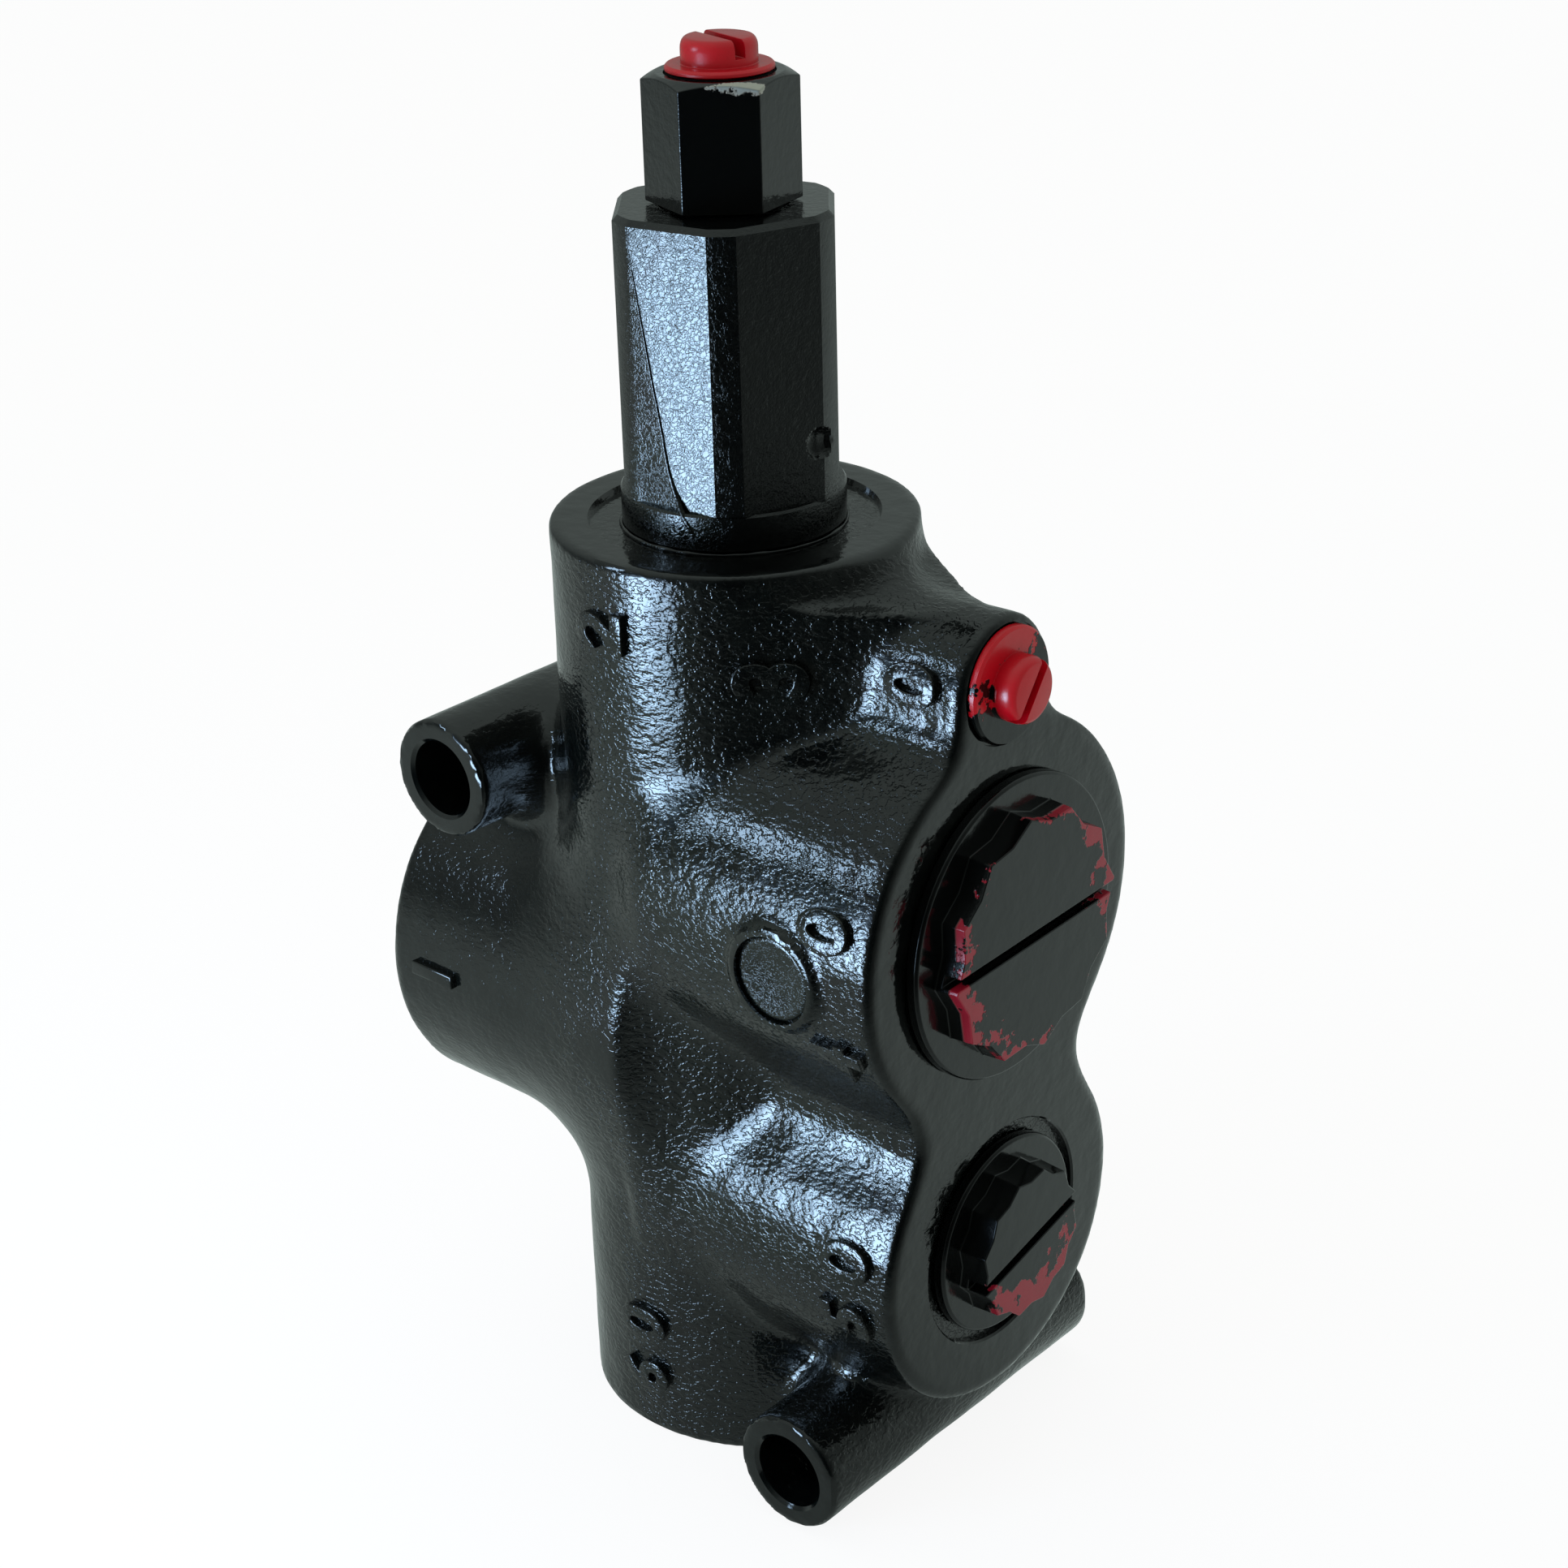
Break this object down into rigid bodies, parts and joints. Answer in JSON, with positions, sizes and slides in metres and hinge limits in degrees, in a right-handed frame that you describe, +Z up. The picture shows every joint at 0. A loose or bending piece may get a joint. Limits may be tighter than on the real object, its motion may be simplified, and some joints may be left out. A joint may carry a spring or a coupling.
{
  "type": "hydraulic priority valve",
  "caption": "Cast iron spool valve that feeds a steering port first and an excess port second, with a sprung bonnet, relief cartridge and screwed port plugs.",
  "frame": {"origin": "on the spool bore's axis, in the plane of the flat base", "axes": "+Z up along the spool bore, +X out of the outlet port face, Y along the mounting tubes"},
  "size_m": [0.0928, 0.0544, 0.1808],
  "materials": {
    "cast_body": "gloss black paint over rough cast iron",
    "black_steel": "gloss black paint over turned steel",
    "red_plastic": "gloss red plastic, partly over-sprayed black",
    "rubber": "matt black",
    "ground_steel": "ground",
    "spring_steel": "oiled wire"
  },
  "bodies": {
    "valve": {"valve_body": "cast_body", "bonnet": "black_steel", "bonnet_seal": "rubber", "adapter": "black_steel", "adapter_seal": "rubber", "core_cap": "black_steel", "relief_seat": "ground_steel", "spring_washer": "ground_steel", "signal_orifice": "ground_steel", "spool_spring": "spring_steel", "relief_spring": "spring_steel"},
    "spool": {"spool": "ground_steel", "spool_orifice": "ground_steel"},
    "relief_poppet": {"relief_poppet": "ground_steel"},
    "relief_button": {"relief_button": "ground_steel"},
    "relief_adjuster": {"relief_adjuster": "ground_steel"},
    "large_outlet_seal": {"large_outlet_seal": "rubber"},
    "large_outlet_plug": {"large_outlet_plug": "red_plastic"},
    "small_outlet_seal": {"small_outlet_seal": "rubber"},
    "small_outlet_plug": {"small_outlet_plug": "red_plastic"},
    "signal_seal": {"signal_seal": "rubber"},
    "signal_plug": {"signal_plug": "red_plastic"},
    "inlet_seal": {"inlet_seal": "rubber"},
    "inlet_plug": {"inlet_plug": "red_plastic"},
    "top_plug_washer": {"top_plug_washer": "rubber"},
    "top_plug": {"top_plug": "red_plastic"},
    "pilot_seal": {"pilot_seal": "rubber"},
    "pilot_plug": {"pilot_plug": "black_steel"}
  },
  "joints": [
    {"name": "spool_slide", "type": "slide", "parent": "valve", "child": "spool", "axis": [0, 0, 1], "range_m": [0, 0.01], "stiffness_N_per_m": 4000, "springref_m": -0.012, "deforming": ["spool_spring"]},
    {"name": "poppet_slide", "type": "slide", "parent": "valve", "child": "relief_poppet", "axis": [0, 0, 1], "range_m": [0, 0.0015], "stiffness_N_per_m": 6000, "springref_m": -0.002, "deforming": ["relief_spring"]},
    {"name": "adjuster_feed", "type": "slide", "parent": "valve", "child": "relief_button", "axis": [0, 0, 1], "range_m": [-0.0015, 0]},
    {"name": "adjuster_turn", "type": "hinge", "parent": "relief_button", "child": "relief_adjuster", "pos_m": [0, 0, 0.165], "axis": [0, 0, 1], "range_deg": [-540, 0]},
    {"name": "large_outlet_feed", "type": "slide", "parent": "valve", "child": "large_outlet_seal", "axis": [1, 0, 0], "range_m": [0, 0.0127]},
    {"name": "large_outlet_turn", "type": "hinge", "parent": "large_outlet_seal", "child": "large_outlet_plug", "pos_m": [0.0414, 0, 0.0801], "axis": [1, 0, 0], "range_deg": [0, 2160]},
    {"name": "small_outlet_feed", "type": "slide", "parent": "valve", "child": "small_outlet_seal", "axis": [1, 0, 0], "range_m": [0, 0.00952]},
    {"name": "small_outlet_turn", "type": "hinge", "parent": "small_outlet_seal", "child": "small_outlet_plug", "pos_m": [0.0414, 0, 0.0364], "axis": [1, 0, 0], "range_deg": [0, 2160]},
    {"name": "signal_feed", "type": "slide", "parent": "valve", "child": "signal_seal", "axis": [1, 0, 0], "range_m": [0, 0.00762]},
    {"name": "signal_turn", "type": "hinge", "parent": "signal_seal", "child": "signal_plug", "pos_m": [0.0414, 0, 0.1112], "axis": [1, 0, 0], "range_deg": [0, 2160]},
    {"name": "inlet_feed", "type": "slide", "parent": "valve", "child": "inlet_seal", "axis": [-1, 0, 0], "range_m": [0, 0.0127]},
    {"name": "inlet_turn", "type": "hinge", "parent": "inlet_seal", "child": "inlet_plug", "pos_m": [-0.0414, 0, 0.0583], "axis": [-1, 0, 0], "range_deg": [0, 2160]},
    {"name": "top_feed", "type": "slide", "parent": "valve", "child": "top_plug_washer", "axis": [0, 0, 1], "range_m": [0, 0.00508]},
    {"name": "top_turn", "type": "hinge", "parent": "top_plug_washer", "child": "top_plug", "pos_m": [0, 0, 0.1768], "axis": [0, 0, 1], "range_deg": [0, 1440]},
    {"name": "pilot_feed", "type": "slide", "parent": "valve", "child": "pilot_seal", "axis": [0, 0, -1], "range_m": [0, 0.00952]},
    {"name": "pilot_turn", "type": "hinge", "parent": "pilot_seal", "child": "pilot_plug", "pos_m": [0, 0, 0.0057], "axis": [0, 0, -1], "range_deg": [0, 2160]}
  ],
  "couplings": [
    {"joint": "adjuster_turn", "follows": "adjuster_feed", "rad_per_m": 6283.2},
    {"joint": "large_outlet_turn", "follows": "large_outlet_feed", "rad_per_m": 2968.4},
    {"joint": "small_outlet_turn", "follows": "small_outlet_feed", "rad_per_m": 3957.9},
    {"joint": "signal_turn", "follows": "signal_feed", "rad_per_m": 4947.4},
    {"joint": "inlet_turn", "follows": "inlet_feed", "rad_per_m": 2968.4},
    {"joint": "top_turn", "follows": "top_feed", "rad_per_m": 4947.4},
    {"joint": "pilot_turn", "follows": "pilot_feed", "rad_per_m": 3957.9}
  ]
}
